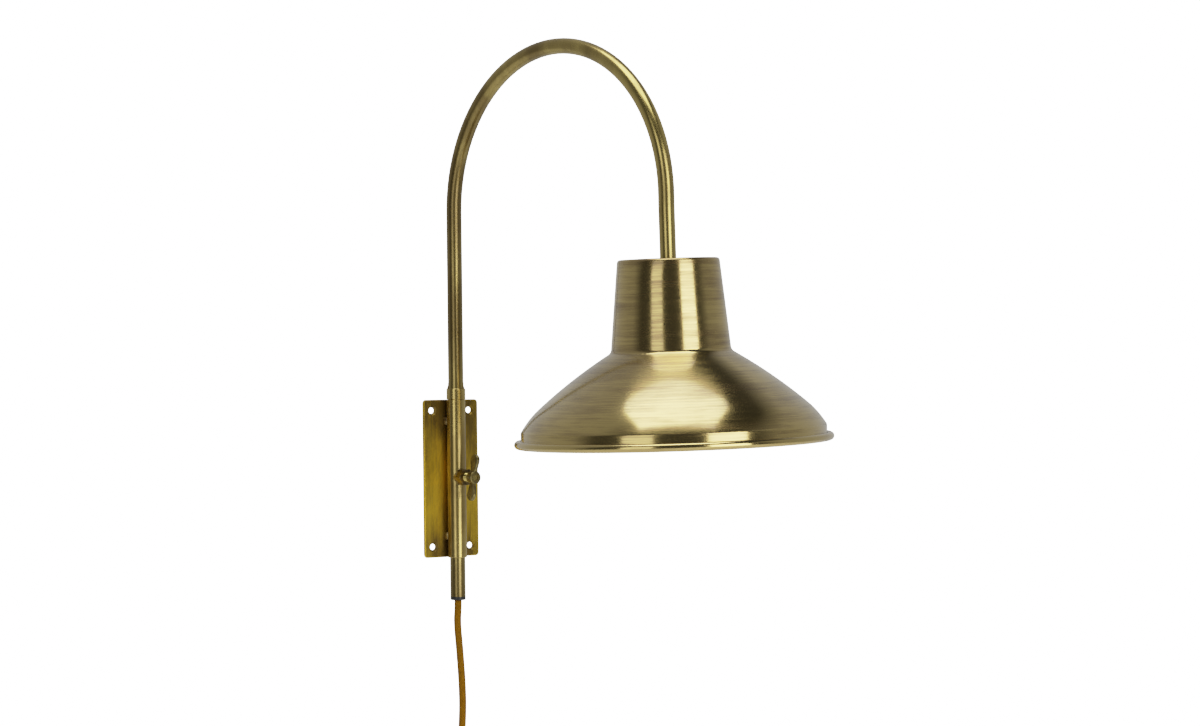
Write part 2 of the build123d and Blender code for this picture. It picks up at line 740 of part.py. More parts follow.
def cord_coil():
    """The flex that is put away: a ring of the outer shape of the coil's turns."""
    section = Pos(coil_radius, 0) * RectangleRounded(bundle_width, bundle_depth, bundle_corner)
    ring = revolve(section, Axis.Y)
    return Pos(coil_x, mast_y, coil_z) * ring


def cord_tie():
    """A strap round the coil's bundle, near the top."""
    inner = RectangleRounded(bundle_width + 2 * tie_gap, bundle_depth + 2 * tie_gap, bundle_corner + tie_gap)
    outer = offset(inner, tie_thickness)
    band = extrude(Pos(coil_radius, 0) * (outer - inner), tie_width / 2, both=True)
    # local x runs out of the coil and local z along its turns
    return Pos(coil_x, mast_y, coil_z) * Rot(0, tie_angle - 90, 0) * band


def plug_body():
    """Flat two-pin plug, moulded in one with its cord neck, pins down."""
    wide = -plug_neck - plug_shoulder
    face = wide - plug_front
    neck_start = Circle(cord_diameter / 2 + 1.2)
    neck_end = Pos(0, 0, -plug_neck) * SlotOverall(plug_neck_width, plug_neck_thickness)
    neck = loft([neck_start, neck_end])
    taper = loft([neck_end, Pos(0, 0, wide) * SlotOverall(plug_width, plug_thickness)])
    front = extrude(Pos(0, 0, face) * SlotOverall(plug_width, plug_thickness), plug_front)
    front = fillet(front.faces().sort_by(Axis.Z)[0].edges(), plug_edge)
    body = neck + taper + front
    for side in (-1, 1):
        body -= Pos(side * pin_spacing / 2, 0, face) * Cylinder(pin_core_diameter / 2, 2 * pin_root_length)
    return plug_place * body


def plug_pin_group(radius, start, end):
    """Two round pieces side by side below the plug's face, between two distances from it."""
    face = -(plug_neck + plug_shoulder + plug_front)
    pins = []
    for side in (-1, 1):
        pin = Cylinder(radius, end - start, align=DOWN)
        pins.append(Pos(side * pin_spacing / 2, 0, face - start) * pin)
    return pins


def plug_pins():
    """Round pins: a bare tip, and a thinner core inside the plug and the sleeve."""
    sleeve_end = pin_length - pin_bare_length
    tips = plug_pin_group(pin_diameter / 2, sleeve_end, pin_length)
    cores = plug_pin_group(pin_core_diameter / 2, -pin_root_length, sleeve_end)
    pins = []
    for tip, shank in zip(tips, cores):
        tip = chamfer(tip.edges().filter_by(GeomType.CIRCLE).sort_by(Axis.Z)[0], 0.8)
        pins.append(plug_place * (tip + shank))
    return pins


def plug_pin_sleeves():
    sleeve_end = pin_length - pin_bare_length
    outer = plug_pin_group(pin_sleeve_diameter / 2, 0, sleeve_end)
    inner = plug_pin_group(pin_core_diameter / 2, 0, sleeve_end)
    return [plug_place * (a - b) for a, b in zip(outer, inner)]


# ---------------------------------------------------------------- all the pieces
os.makedirs("parts", exist_ok=True)

save("wall_plate", wall_plate())
save("pivot_sleeve", pivot_sleeve())
save("sleeve_brazes", *sleeve_brazes())
save("clamp_nut", clamp_nut())
save("nut_braze", nut_braze())
save("clamp_stud", clamp_stud())
save("wing_head", wing_head())
save("arm_tube", arm_tube())
save("stop_ring", stop_ring())
save("ring_braze", ring_braze())
save("tail_bush", tail_bush())
save("shade", shade())
save("end_nipple", end_nipple())
save("shade_washer", shade_washer())
save("lock_nut", lock_nut())
save("holder_cap", holder_cap())
save("cap_grub_screw", cap_grub_screw())
save("cord_grip", cord_grip())
save("contact_block", contact_block())
save("terminal_posts", *terminal_posts())
save("terminal_screws", *terminal_screws())
save("thread_shell", thread_shell())
save("centre_contact", centre_contact())
save("side_contact", side_contact())
save("holder_skirt", holder_skirt())
save("inner_cord", inner_cord())
save("live_core", core(1))
save("neutral_core", core(-1))
save("cord_to_switch", cord_tube("cord_to_switch", cord_to_switch_points, cord_diameter))
save("switch_front", switch_front())
save("switch_back", switch_back())
save("switch_screws", *switch_screws())
save("switch_rocker", switch_rocker())
save("cord_to_coil", cord_tube("cord_to_coil", cord_to_coil_points, cord_diameter))
save("cord_coil", cord_coil())
save("cord_tie", cord_tie())
save("cord_to_plug", cord_tube("cord_to_plug", cord_to_plug_points, cord_diameter))
save("plug_body", plug_body())
save("plug_pins", *plug_pins())
save("plug_pin_sleeves", *plug_pin_sleeves())
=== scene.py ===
import json
import math

import bmesh
import bpy
from mathutils import Matrix, Vector, noise


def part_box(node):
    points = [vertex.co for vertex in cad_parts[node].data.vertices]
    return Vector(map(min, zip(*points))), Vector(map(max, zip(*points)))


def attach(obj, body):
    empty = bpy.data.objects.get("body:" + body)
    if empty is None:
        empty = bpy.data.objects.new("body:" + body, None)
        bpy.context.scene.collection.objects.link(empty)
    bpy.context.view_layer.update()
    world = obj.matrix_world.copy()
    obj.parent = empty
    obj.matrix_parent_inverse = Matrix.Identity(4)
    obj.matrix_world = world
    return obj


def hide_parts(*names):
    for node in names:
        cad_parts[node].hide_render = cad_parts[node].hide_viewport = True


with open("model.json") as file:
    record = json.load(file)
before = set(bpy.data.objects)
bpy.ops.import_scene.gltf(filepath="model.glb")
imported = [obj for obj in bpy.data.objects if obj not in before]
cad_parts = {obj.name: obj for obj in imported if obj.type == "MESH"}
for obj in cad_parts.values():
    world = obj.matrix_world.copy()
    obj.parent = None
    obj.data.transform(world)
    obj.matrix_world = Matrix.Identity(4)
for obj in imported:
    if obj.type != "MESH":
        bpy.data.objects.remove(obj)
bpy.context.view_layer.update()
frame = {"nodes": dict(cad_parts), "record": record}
node = frame["nodes"]


# ---- Camera ----------------------------------------------------------------------------------------------
# The photograph's own view: a long lens two and a half metres off, level with the lamp's middle and well
# to the left of straight on, so that the arm and the plate are seen from the side and the shade from its
# edge.
camera_data = bpy.data.cameras.new("camera")
camera_data.lens = 87.188
camera_data.sensor_width = 36.0
camera_data.sensor_fit = "HORIZONTAL"
camera_data.clip_end = 50.0
camera = bpy.data.objects.new("camera", camera_data)
bpy.context.scene.collection.objects.link(camera)
camera_right = Vector((0.792706, -0.609506, -0.010951))
camera_up = Vector((0.007459, -0.008264, 0.999938))
camera_ahead = Vector((0.609559, 0.792738, 0.002005))
camera_at = Vector((-1.399796, -2.030587, 0.091145))
camera_turn = Matrix((camera_right, camera_up, -camera_ahead)).transposed().to_4x4()
camera.matrix_world = Matrix.Translation(camera_at) @ camera_turn
bpy.context.scene.camera = camera


# ---- Flex from the arm's tail to the switch --------------------------------------------------------------
# Round two-core flex, 6 mm, in a braided mustard textile sleeve.  It drops straight out of the black bush
# and keeps a slight set from the way it was packed, so it hangs in a long shallow S down to the in-line
# switch.
mast_y = -0.00998
flex_diameter = 0.006
tail_exit = -0.1025
switch_top = -0.236
to_switch_points = [
    (0.0, mast_y, tail_exit),
    (0.0, mast_y, -0.109),
    (-0.0012, mast_y, -0.1215),
    (0.0011, mast_y - 0.0003, -0.146),
    (0.0038, mast_y - 0.0002, -0.183),
    (0.0028, mast_y, -0.212),
    (0.0009, mast_y, -0.2275),
    (0.0009, mast_y, switch_top),
]


def flex_route(name, points):
    """Points along a smooth line that hangs from given points, close enough together to follow it."""
    line = bpy.data.curves.new(name, "CURVE")
    line.dimensions = "3D"
    line.resolution_u = 12
    spline = line.splines.new("NURBS")
    spline.points.add(len(points) - 1)
    for place, point in zip(spline.points, points):
        place.co = (*point, 1.0)
    spline.order_u = 3
    spline.use_endpoint_u = True
    holder = bpy.data.objects.new(name, line)
    mesh = bpy.data.meshes.new_from_object(holder)
    route = [v.co.copy() for v in mesh.vertices]
    bpy.data.objects.remove(holder)
    return [p for i, p in enumerate(route) if i == 0 or (p - route[i - 1]).length > 1e-6]


def even_steps(route, step):
    """The same line with its points an even step apart."""
    out = [route[0].copy()]
    left = step
    for a, b in zip(route, route[1:]):
        run = (b - a).length
        while left <= run:
            a = a.lerp(b, left / run)
            run = (b - a).length
            out.append(a.copy())
            left = step
        left -= run
    if (out[-1] - route[-1]).length > 0.3 * step:
        out.append(route[-1].copy())
    else:
        out[-1] = route[-1].copy()
    return out


def flex_tube(name, route, radius_at, around, body):
    """A round tube along a route, with its way round and its metres along kept as texture places."""
    shape = bmesh.new()
    places = shape.loops.layers.uv.new("flex")
    along = [(b - a).normalized() for a, b in zip(route, route[1:])]
    along.append(along[-1].copy())
    side = along[0].orthogonal().normalized()
    rings = []
    run = []
    for i, (point, ahead) in enumerate(zip(route, along)):
        heading = (along[i - 1] + ahead).normalized() if i else ahead
        side = (side - heading * side.dot(heading)).normalized()
        other = heading.cross(side)
        run.append(run[-1] + (point - route[i - 1]).length if i else 0.0)
        ring = []
        for k in range(around):
            turn = 2 * math.pi * k / around
            outward = math.cos(turn) * side + math.sin(turn) * other
            ring.append(shape.verts.new(point + radius_at(run[-1]) * outward))
        rings.append(ring)
    for i in range(len(rings) - 1):
        for k in range(around):
            n = (k + 1) % around
            face = shape.faces.new((rings[i][k], rings[i][n], rings[i + 1][n], rings[i + 1][k]))
            face.smooth = True
            for loop, (u, v) in zip(face.loops, ((k, i), (k + 1, i), (k + 1, i + 1), (k, i + 1))):
                loop[places].uv = (u / around, run[v])
    for ring in (rings[0], list(reversed(rings[-1]))):
        shape.faces.new(ring)
    shape.normal_update()
    bmesh.ops.recalc_face_normals(shape, faces=shape.faces)
    mesh = bpy.data.meshes.new(name)
    shape.to_mesh(mesh)
    shape.free()
    piece = bpy.data.objects.new(name, mesh)
    bpy.context.scene.collection.objects.link(piece)
    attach(piece, body)
    return piece


def wire(tree, kind, **inputs):
    """A new shader node with some of its sockets set, each to a value or to another node's output."""
    made = tree.nodes.new(kind)
    for socket, value in inputs.items():
        numbered = socket[0] == "i" and socket[1:].isdigit()
        target = made.inputs[int(socket[1:])] if numbered else made.inputs[socket]
        if isinstance(value, bpy.types.NodeSocket):
            tree.links.new(value, target)
        else:
            target.default_value = value
    return made


def maths(tree, operation, first, second=0.0):
    """One step of sums on two values."""
    made = wire(tree, "ShaderNodeMath", i0=first, i1=second)
    made.operation = operation
    return made.outputs[0]


def blend(tree, share, first, second, way="MIX"):
    """One colour laid over another by a share from 0 to 1."""
    made = tree.nodes.new("ShaderNodeMix")
    made.data_type = "RGBA"
    made.blend_type = way
    for socket, value in ((made.inputs[0], share), (made.inputs[6], first), (made.inputs[7], second)):
        if isinstance(value, bpy.types.NodeSocket):
            tree.links.new(value, socket)
        else:
            socket.default_value = value
    return made.outputs[2]


def span(tree, value, low, high, to_low=0.0, to_high=1.0):
    """A value brought from one range to another, and held inside it."""
    made = wire(tree, "ShaderNodeMapRange", Value=value)
    made.inputs["From Min"].default_value = low
    made.inputs["From Max"].default_value = high
    made.inputs["To Min"].default_value = to_low
    made.inputs["To Max"].default_value = to_high
    return made.outputs[0]


def new_finish(name, **sockets):
    """A material, its tree and its shader, with the shader's plain values set on its own sockets."""
    finish = bpy.data.materials.new(name)
    finish.use_nodes = True
    shader = finish.node_tree.nodes["Principled BSDF"]
    for socket, value in sockets.items():
        shader.inputs[socket.replace("_", " ")].default_value = value
    return finish, finish.node_tree, shader


def relief(tree, shader, height, depth):
    """Surface relief of a real depth in metres, from a height between 0 and 1."""
    bump = wire(tree, "ShaderNodeBump", Height=height, Distance=depth)
    tree.links.new(bump.outputs[0], shader.inputs["Normal"])


def braided_textile():
    """Sixteen-carrier braid: two sets of yarns cross over and under each other round the flex, with painted
    shade where each yarn dips under the other.
    """
    finish, tree, shader = new_finish("mustard braid", Roughness=0.9, Specular_IOR_Level=0.15)
    place = wire(tree, "ShaderNodeSeparateXYZ", i0=wire(tree, "ShaderNodeUVMap").outputs[0])
    lead = 0.019
    yarns = 8.0
    yarn_height = 0.00035
    painted_shade_yarn = (0.09, 0.040, 0.0005, 1)
    top_yarn = (0.37, 0.145, 0.001, 1)
    slub_yarn = (0.43, 0.185, 0.003, 1)
    dark_fibre = (0.06, 0.03, 0.0005, 1)
    light_fibre = (0.46, 0.22, 0.006, 1)
    around = maths(tree, "MULTIPLY", place.outputs[0], yarns)
    onward = maths(tree, "MULTIPLY", place.outputs[1], yarns / lead)
    right = maths(tree, "ADD", around, onward)
    left = maths(tree, "SUBTRACT", around, onward)
    right_across = maths(tree, "FRACT", right)
    left_across = maths(tree, "FRACT", left)
    cell = maths(tree, "ADD", maths(tree, "FLOOR", right), maths(tree, "FLOOR", left))
    right_on_top = maths(tree, "GREATER_THAN", maths(tree, "FRACT", maths(tree, "MULTIPLY", cell, 0.5)), 0.25)
    right_crown = maths(tree, "SINE", maths(tree, "MULTIPLY", right_across, math.pi))
    left_crown = maths(tree, "SINE", maths(tree, "MULTIPLY", left_across, math.pi))
    over = maths(tree, "MULTIPLY", right_on_top, right_crown)
    under = maths(tree, "MULTIPLY", maths(tree, "SUBTRACT", 1.0, right_on_top), left_crown)
    crown = maths(tree, "POWER", maths(tree, "ADD", over, under), 0.7)
    at = wire(tree, "ShaderNodeTexCoord").outputs["Object"]
    fibres = wire(tree, "ShaderNodeTexNoise", Vector=at, Scale=2600.0, Detail=2.0)
    slubs = wire(tree, "ShaderNodeTexNoise", Vector=at, Scale=320.0, Detail=3.0)
    # Painted shade: the yarn's colour darkens into the dips between crowns, following the same crossing as
    # the relief.
    yarn = blend(tree, crown, painted_shade_yarn, top_yarn)
    yarn = blend(tree, span(tree, slubs.outputs[0], 0.35, 0.7), yarn, slub_yarn)
    yarn = blend(tree, 0.35, yarn, blend(tree, fibres.outputs[0], dark_fibre, light_fibre))
    tree.links.new(yarn, shader.inputs["Base Color"])
    rise = maths(tree, "ADD", crown, maths(tree, "MULTIPLY", fibres.outputs[0], 0.35))
    relief(tree, shader, rise, yarn_height)
    return finish


def plain_flex(run):
    """The flex is as thick all along."""
    return flex_diameter / 2


mustard_braid = braided_textile()
to_switch_route = even_steps(flex_route("to_switch_line", to_switch_points), 0.0015)
flex_to_switch = flex_tube("flex_to_switch", to_switch_route, plain_flex, 32, "hanging_flex")
flex_to_switch.data.materials.append(mustard_braid)
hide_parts("cord_to_switch")


# ---- Flex from the switch through the coil to the plug ---------------------------------------------------
# The same flex.  What isn't needed to reach a socket is wound into a neat flat coil of seven turns under the
# switch, strapped near its top, and the plug lies in front of the coil.
coil_x = 0.0042
coil_z = -0.3707
switch_bottom = -0.292
to_coil_points = [
    (0.0009, mast_y, switch_bottom),
    (0.0009, mast_y, switch_bottom - 0.0115),
    (0.0042, mast_y + 0.0008, switch_bottom - 0.0265),
    (0.0126, mast_y + 0.0026, switch_bottom - 0.038),
]
# Where each turn lies in the bundle: its distance from the coil's middle and its depth, back layer first.
layer = 0.0052
turn_places = [
    (0.040, layer),
    (0.034, layer),
    (0.028, layer),
    (0.031, 0.0),
    (0.037, 0.0),
    (0.040, -layer),
    (0.034, -layer),
]
# The fourth and the sixth turn begin a new layer, and swing clear of their neighbours as they climb to it.
turn_swings = {3: (-0.0012, -0.0012), 5: (0.0032, 0.0016)}
coil_points = []
starts_at = 62.0
ends_at = 142.0 - 360.0 * len(turn_places)
turn_step = 15.0
# Each turn shifts to its own place over a quarter of the way round, from the coil's upper left on.
shift_from = 135.0
shift_over = 90.0
angle = starts_at
while angle >= ends_at:
    passed = (shift_from - angle) / 360.0
    turn = int(math.floor(passed + 1e-9))
    part = min((passed - turn) * 360.0 / shift_over, 1.0)
    part = part * part * (3 - 2 * part)
    before = turn_places[max(turn - 1, 0)]
    after = turn_places[turn]
    swing = turn_swings.get(turn, (0.0, 0.0))
    lift = 4 * part * (1 - part)
    reach = before[0] + (after[0] - before[0]) * part + swing[0] * lift
    depth = before[1] + (after[1] - before[1]) * part + swing[1] * lift
    way = math.radians(angle)
    coil_points.append((coil_x + reach * math.cos(way), mast_y + depth, coil_z + reach * math.sin(way)))
    angle -= turn_step
to_plug_points = [
    (coil_x - 0.0236, mast_y - 0.0064, coil_z + 0.0232),
    (coil_x - 0.0146, mast_y - 0.0090, coil_z + 0.0274),
    (coil_x - 0.0046, mast_y - 0.0118, coil_z + 0.0270),
    (coil_x + 0.0044, mast_y - 0.0141, coil_z + 0.0222),
    (coil_x + 0.0104, mast_y - 0.0156, coil_z + 0.0143),
    (coil_x + 0.0134, mast_y - 0.0162, coil_z + 0.0050),
    (coil_x + 0.0134, mast_y - 0.0162, coil_z - 0.0013),
]
coil_route = even_steps(flex_route("coil_line", to_coil_points + coil_points + to_plug_points), 0.0025)
flex_coil = flex_tube("flex_coil", coil_route, plain_flex, 20, "hanging_flex")
flex_coil.data.materials.append(mustard_braid)
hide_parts("cord_to_coil", "cord_coil", "cord_to_plug")


# ---- Studio ----------------------------------------------------------------------------------------------
# Three soft boxes stand round the lamp: a narrow one to the left of the camera, a wide bright one to its
# right and one overhead.  Behind is a pale sweep, in front a darker room, and below a pale floor of milky
# sheet that is lit from underneath.
lamp_middle = Vector((0.03, -0.27, 0.06))
to_camera = Vector((-0.6096, -0.7927, 0.0))
to_right = Vector((0.7927, -0.6095, 0.0))


def soft_box(name, turn, rise, far, width, height, glow, colour):
    """An even rectangle of light, turned round the lamp to the camera's right and then raised."""
    turn = math.radians(turn)
    rise = math.radians(rise)
    level = math.cos(turn) * to_camera + math.sin(turn) * to_right
    outward = math.cos(rise) * level + math.sin(rise) * Vector((0, 0, 1))
    across = math.cos(turn) * to_right - math.sin(turn) * to_camera
    data = bpy.data.lights.new(name, "AREA")
    data.shape = "RECTANGLE"
    data.size = width
    data.size_y = height
    data.energy = glow * math.pi * width * height
    data.color = colour
    box = bpy.data.objects.new(name, data)
    bpy.context.scene.collection.objects.link(box)
    turned = Matrix((across, outward.cross(across), outward)).transposed().to_4x4()
    box.matrix_world = Matrix.Translation(lamp_middle + far * outward) @ turned
    box.visible_camera = False


soft_box("left_box", turn=-28.0, rise=4.0, far=2.5, width=1.02, height=2.9, glow=1.3,
         colour=(1.0, 0.99, 0.96))
soft_box("right_box", turn=38.0, rise=4.0, far=2.2, width=1.18, height=2.5, glow=3.0,
         colour=(1.0, 0.99, 0.97))
soft_box("top_box", turn=0.0, rise=83.0, far=1.5, width=1.18, height=1.05, glow=2.7,
         colour=(1.0, 1.0, 1.0))

world = bpy.data.worlds.new("studio")
bpy.context.scene.world = world
world.use_nodes = True
sky = world.node_tree
sky.nodes.clear()
looking = wire(sky, "ShaderNodeTexCoord").outputs["Generated"]
facing = wire(sky, "ShaderNodeVectorMath", i0=looking, i1=to_camera)
facing.operation = "DOT_PRODUCT"
facing = facing.outputs["Value"]
sweep_glow = span(sky, facing, -1.0, 0.2, 0.42, 0.27)
dark_side = span(sky, facing, 0.15, 0.45, 0.0, 0.22)
room_glow = maths(sky, "SUBTRACT", sweep_glow, dark_side)
beside = wire(sky, "ShaderNodeVectorMath", i0=looking, i1=to_right)
beside.operation = "DOT_PRODUCT"
ceiling = span(sky, wire(sky, "ShaderNodeSeparateXYZ", i0=looking).outputs[2], 0.64, 0.80)
dark_corner = maths(sky, "MULTIPLY", ceiling, span(sky, beside.outputs["Value"], 0.0, 0.22, 0.0, 0.9))
room_glow = maths(sky, "MULTIPLY", room_glow, maths(sky, "SUBTRACT", 1.0, dark_corner))
room = wire(sky, "ShaderNodeBackground", Color=(1.0, 0.98, 0.94, 1), Strength=room_glow)
backdrop_white = 3.0
white = wire(sky, "ShaderNodeBackground", Color=(1, 1, 1, 1), Strength=backdrop_white)
seen_by_camera = wire(sky, "ShaderNodeLightPath").outputs["Is Camera Ray"]
either = wire(sky, "ShaderNodeMixShader", i0=seen_by_camera, i1=room.outputs[0], i2=white.outputs[0])
wire(sky, "ShaderNodeOutputWorld", i0=either.outputs[0])

floor_radius = 2.2
floor_height = -0.62
floor_shape = bmesh.new()
bmesh.ops.create_circle(floor_shape, cap_ends=True, segments=96, radius=floor_radius)
floor_mesh = bpy.data.meshes.new("floor")
floor_shape.to_mesh(floor_mesh)
floor_shape.free()
floor = bpy.data.objects.new("floor", floor_mesh)
bpy.context.scene.collection.objects.link(floor)
floor.location = (0.0, -0.15, floor_height)
floor_finish = new_finish("pale floor", Base_Color=(0.88, 0.88, 0.87, 1), Roughness=0.7,
                          Emission_Color=(1.0, 0.99, 0.97, 1), Emission_Strength=0.22)[0]
floor.data.materials.append(floor_finish)

# Bright places roll off softly towards white, as they do on film.
view = bpy.context.scene.view_settings
view.view_transform = "Standard"
view.use_curve_mapping = True
film = view.curve_mapping
film.white_level = (backdrop_white, backdrop_white, backdrop_white)
film_curve = film.curves[3]
shoulder = ((0.35, 0.36), (0.6, 0.56), (1.0, 0.74), (2.0, 0.915))
for light, tone in shoulder:
    film_curve.points.new(light / backdrop_white, tone)
film.update()


# ---- Wall plate ------------------------------------------------------------------------------------------
# Two millimetre brass sheet, edges eased, drilled and countersunk for four screws.  Its antique finish is
# rubbed back by hand, so it is golden where it was rubbed and brown in clouds where the patina stayed.
def cloudy(tree, at, scale, detail=5.0):
    """Soft uneven clouds, with their own scale along each axis."""
    spread = wire(tree, "ShaderNodeMapping", Vector=at)
    spread.inputs["Scale"].default_value = scale
    clouds = wire(tree, "ShaderNodeTexNoise", Vector=spread.outputs[0], Scale=1.0, Detail=detail,
                  Roughness=0.6)
    return clouds.outputs[0]


def brass_finish(name, gold, brown, clouds, patina, gloss, marks, depth, lacquer=0.35, brushed=0.0, bite=0.45,
                 wear_and_painted_light=None):
    """Antiqued and lacquered brass: brown patina over gold, marks of the brush, gloss that follows both."""
    finish, tree, shader = new_finish(name, Metallic=1.0, Coat_Weight=lacquer, Coat_Roughness=0.1,
                                      Coat_IOR=1.5, Anisotropic=brushed, Anisotropic_Rotation=0.25)
    at = wire(tree, "ShaderNodeTexCoord").outputs["Object"]
    cloud = cloudy(tree, at, clouds)
    streak = marks(tree, at)
    stain = maths(tree, "ADD", cloud, maths(tree, "MULTIPLY", maths(tree, "SUBTRACT", streak, 0.5), bite))
    # The optional map thins the patina: rubbing wear on the rim and plate edges, painted light along the arm
    # tube, and on the plate a lighter band below its middle.
    if wear_and_painted_light:
        stain = maths(tree, "SUBTRACT", stain, wear_and_painted_light(tree, at))
    share = span(tree, stain, *patina)
    tree.links.new(blend(tree, share, (*gold, 1), (*brown, 1)), shader.inputs["Base Color"])
    dull = maths(tree, "ADD", maths(tree, "MULTIPLY", share, 0.6), maths(tree, "MULTIPLY", streak, 0.4))
    tree.links.new(span(tree, dull, 0.1, 0.9, *gloss), shader.inputs["Roughness"])
    relief(tree, shader, streak, depth)
    if brushed:
        round_about = tree.nodes.new("ShaderNodeTangent")
        round_about.direction_type = "RADIAL"
        round_about.axis = "Z"
        tree.links.new(round_about.outputs[0], shader.inputs["Tangent"])
    return finish


def brushing(across_x, across_y, across_z):
    """Brush marks as long thin noise: large numbers run across the marks, small ones along them."""
    def marks(tree, at):
        """Fine marks over broad ones."""
        fine = cloudy(tree, at, (across_x, across_y, across_z), 4.0)
        broad = cloudy(tree, at, (across_x / 5, across_y / 5, across_z / 5), 2.0)
        return maths(tree, "ADD", maths(tree, "MULTIPLY", fine, 0.55), maths(tree, "MULTIPLY", broad, 0.45))
    return marks


def dress(finish, *names):
    """Gives CAD pieces their finish."""
    for name in names:
        mesh = node[name].data
        mesh.materials.clear()
        mesh.materials.append(finish)


def plate_edges(tree, at):
    """Lighter along the plate's outline, where it is rubbed, and just below its middle; darker towards its
    top and bottom ends.
    """
    border = 0.002
    brightest_below_middle = 0.016
    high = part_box("wall_plate")[1]
    split = wire(tree, "ShaderNodeSeparateXYZ", i0=at)
    beside = maths(tree, "SUBTRACT", maths(tree, "ABSOLUTE", split.outputs[0]), high.x - border)
    above = maths(tree, "SUBTRACT", maths(tree, "ABSOLUTE", split.outputs[2]), high.z - border)
    edge = span(tree, maths(tree, "MAXIMUM", beside, above), 0.0005, 0.0018, 0.0, 0.22)
    from_brightest = maths(tree, "ABSOLUTE", maths(tree, "ADD", split.outputs[2], brightest_below_middle))
    ends = span(tree, from_brightest, 0.012, 0.064, 0.0, 0.34)
    return maths(tree, "SUBTRACT", edge, ends)


plate_brass = brass_finish("plate brass", gold=(0.92, 0.62, 0.05), brown=(0.19, 0.125, 0.028),
                           clouds=(50, 20, 13), patina=(0.40, 0.80), gloss=(0.34, 0.5),
                           marks=brushing(1500, 60, 34), depth=0.00001, lacquer=0.1, wear_and_painted_light=plate_edges)
dress(plate_brass, "wall_plate")


# ---- Sleeve ----------------------------------------------------------------------------------------------
# Thick drawn tube, brazed upright on the plate.  The arm turns in it, and it is polished brighter than
# the plate.
sleeve_brass = brass_finish("sleeve brass", gold=(0.60, 0.46, 0.155), brown=(0.26, 0.18, 0.06),
                            clouds=(30, 30, 12), patina=(0.40, 0.70), gloss=(0.26, 0.34),
                            marks=brushing(40, 40, 700), depth=0.0000005, brushed=0.3, bite=0.15)
dress(sleeve_brass, "pivot_sleeve", "stop_ring")


# ---- Brazes ----------------------------------------------------------------------------------------------
# Lumpy runs of brazing brass between sleeve and plate, under the nut and on top of the stop ring, left as
# they cooled and only brushed over.
def braze_lumps(name, source, body, voxel, lump):
    """A filler run from the CAD solid, made soft-edged and uneven."""
    mesh = node[source].data.copy()
    mesh.name = name
    piece = bpy.data.objects.new(name, mesh)
    bpy.context.scene.collection.objects.link(piece)
    soften = piece.modifiers.new("remesh", "REMESH")
    soften.mode = "VOXEL"
    soften.voxel_size = voxel
    smooth = piece.modifiers.new("smooth", "SMOOTH")
    smooth.iterations = 6
    broad_lumps = 420.0
    small_lumps = 1100.0
    bpy.context.view_layer.update()
    seen = piece.evaluated_get(bpy.context.evaluated_depsgraph_get())
    made = bpy.data.meshes.new_from_object(seen)
    piece.modifiers.clear()
    piece.data = made
    for vertex in made.vertices:
        shift = noise.noise(vertex.co * broad_lumps) + 0.5 * noise.noise(vertex.co * small_lumps)
        vertex.co += vertex.normal * lump * shift
    for face in made.polygons:
        face.use_smooth = True
    made.materials.clear()
    made.materials.append(braze_brass)
    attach(piece, body)
    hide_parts(source)


braze_brass = brass_finish("braze", gold=(0.62, 0.50, 0.24), brown=(0.16, 0.10, 0.04),
                           clouds=(190, 190, 190), patina=(0.42, 0.62), gloss=(0.28, 0.5),
                           marks=brushing(900, 900, 900), depth=0.00003)
braze_lumps("sleeve_filler", "sleeve_brazes", "wall_bracket", voxel=0.00035, lump=0.0003)
braze_lumps("nut_filler", "nut_braze", "wall_bracket", voxel=0.0003, lump=0.00022)
braze_lumps("ring_filler", "ring_braze", "arm", voxel=0.00028, lump=0.00022)


# ---- Clamp nut -------------------------------------------------------------------------------------------
# A hexagon nut, flat sides up and down, brazed on the sleeve's front over a hole.  Its thread carries the
# screw.
nut_bronze = brass_finish("nut bronze", gold=(0.30, 0.21, 0.08), brown=(0.06, 0.04, 0.018),
                          clouds=(110, 110, 110), patina=(0.36, 0.62), gloss=(0.24, 0.42),
                          marks=brushing(700, 700, 700), depth=0.00002)
dress(nut_bronze, "clamp_nut")


# ---- Clamp stud ------------------------------------------------------------------------------------------
# Bright M8 brass stud with a rolled thread.  It screws through the nut and the sleeve's wall, its flat tip
# presses the arm tube, and its thinned end is riveted in the wing head.
stud_start = 0.00645
stud_shoulder = 0.02083
stud_end = 0.02703
stud_pitch = 0.00125
stud_thread_depth = 0.00055
stud_rings_per_pitch = 16
stud_tip_chamfer = 0.001
stud_chamfer_slope = 0.7
stud_spigot_radius = 0.00245


def stud_ring(shape, middle, radius_at, run, around=48):
    """One ring of points round the stud, at a distance from the mast's axis."""
    ring = []
    for k in range(around):
        turn = 2 * math.pi * k / around
        radius = radius_at(turn, run)
        across = middle[0] + radius * math.cos(turn)
        up = middle[1] + radius * math.sin(turn)
        ring.append(shape.verts.new((across, mast_y - run, up)))
    return ring


